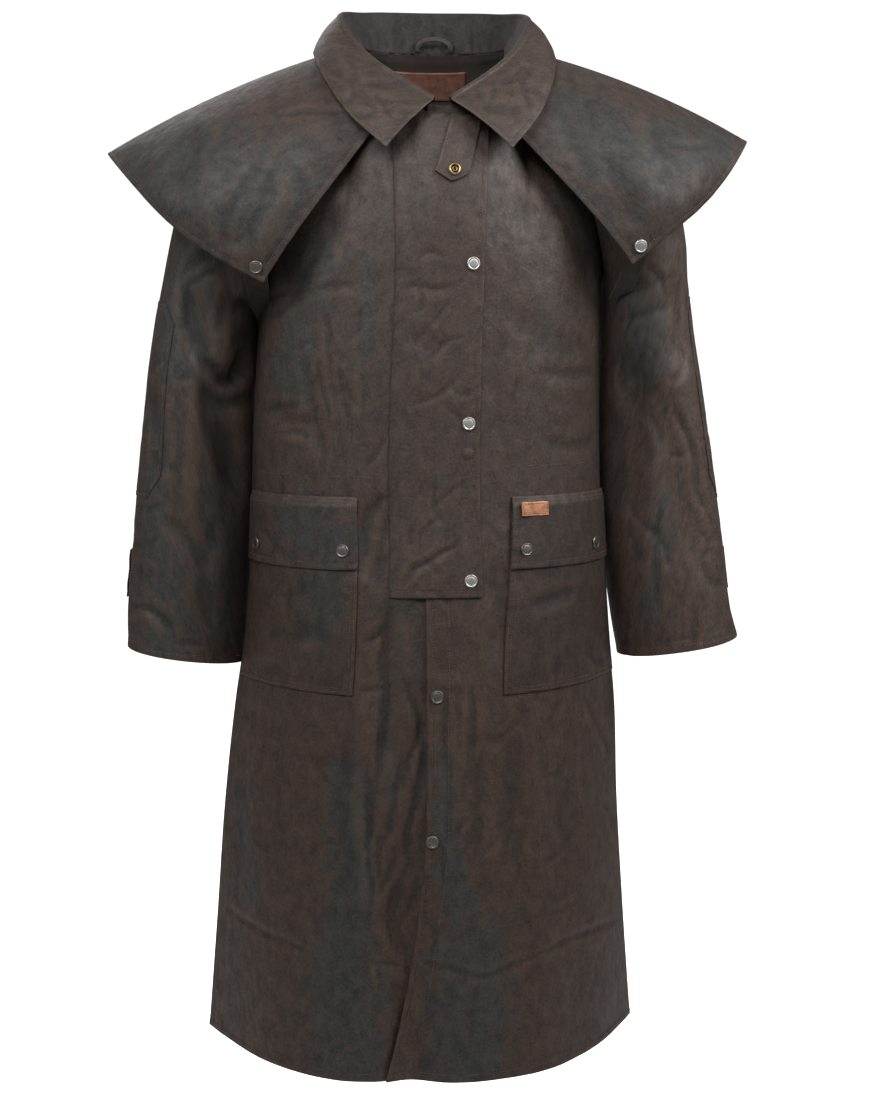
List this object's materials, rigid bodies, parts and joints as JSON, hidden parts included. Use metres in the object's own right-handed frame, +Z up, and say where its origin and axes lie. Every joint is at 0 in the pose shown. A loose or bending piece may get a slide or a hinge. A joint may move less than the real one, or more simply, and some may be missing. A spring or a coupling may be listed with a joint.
{
  "type": "oilskin riding coat with shoulder cape",
  "caption": "Full-length dark brown waxed-cotton riding coat with a shoulder cape, turned-down collar, snapped storm flap and flapped patch pockets, filled out as if worn.",
  "frame": {"origin": "at the base of the wearer's neck, in the middle of the neckline and level with the shoulder's top, where the coat is carried", "axes": "+Z up along the standing wearer, +Y to the wearer's back, +X to the wearer's left"},
  "size_m": [0.7813, 0.3918, 1.2783],
  "materials": {
    "waxed_cloth": "dark brown waxed cotton, mottled, with a soft dull sheen",
    "facing_cloth": "plain dark brown cotton",
    "label_leather": "reddish brown leather",
    "tag_leather": "tan leather",
    "steel_snaps": "worn bare steel",
    "dark_snaps": "dark oxidised steel",
    "brass_socket": "aged brass"
  },
  "bodies": {
    "root": {"front_right": "waxed_cloth", "front_left": "waxed_cloth", "back": "waxed_cloth", "storm_flap": "waxed_cloth", "pocket_right": "waxed_cloth", "pocket_left": "waxed_cloth", "pocket_flap_right": "waxed_cloth", "pocket_flap_left": "waxed_cloth", "sleeve_right": "waxed_cloth", "sleeve_left": "waxed_cloth", "sleeve_patch_right": "waxed_cloth", "sleeve_patch_left": "waxed_cloth", "cuff_tab_right": "waxed_cloth", "cuff_tab_left": "waxed_cloth", "cape_front_right": "waxed_cloth", "cape_front_left": "waxed_cloth", "cape_back": "waxed_cloth", "cape_strap_right": "waxed_cloth", "cape_strap_left": "waxed_cloth", "collar": "waxed_cloth", "throat_tab": "waxed_cloth", "neck_facing": "facing_cloth", "hanger_loop": "facing_cloth", "neck_label": "label_leather", "pocket_tag": "tag_leather", "storm_snap_top": "steel_snaps", "storm_snap_middle": "steel_snaps", "storm_snap_bottom": "steel_snaps", "cape_snap_left": "steel_snaps", "front_snap_upper": "dark_snaps", "front_snap_lower": "dark_snaps", "pocket_snap_right_inner": "dark_snaps", "pocket_snap_right_outer": "dark_snaps", "pocket_snap_left_inner": "dark_snaps", "pocket_snap_left_outer": "dark_snaps", "cape_snap_right": "dark_snaps", "throat_socket": "brass_socket"}
  },
  "joints": []
}
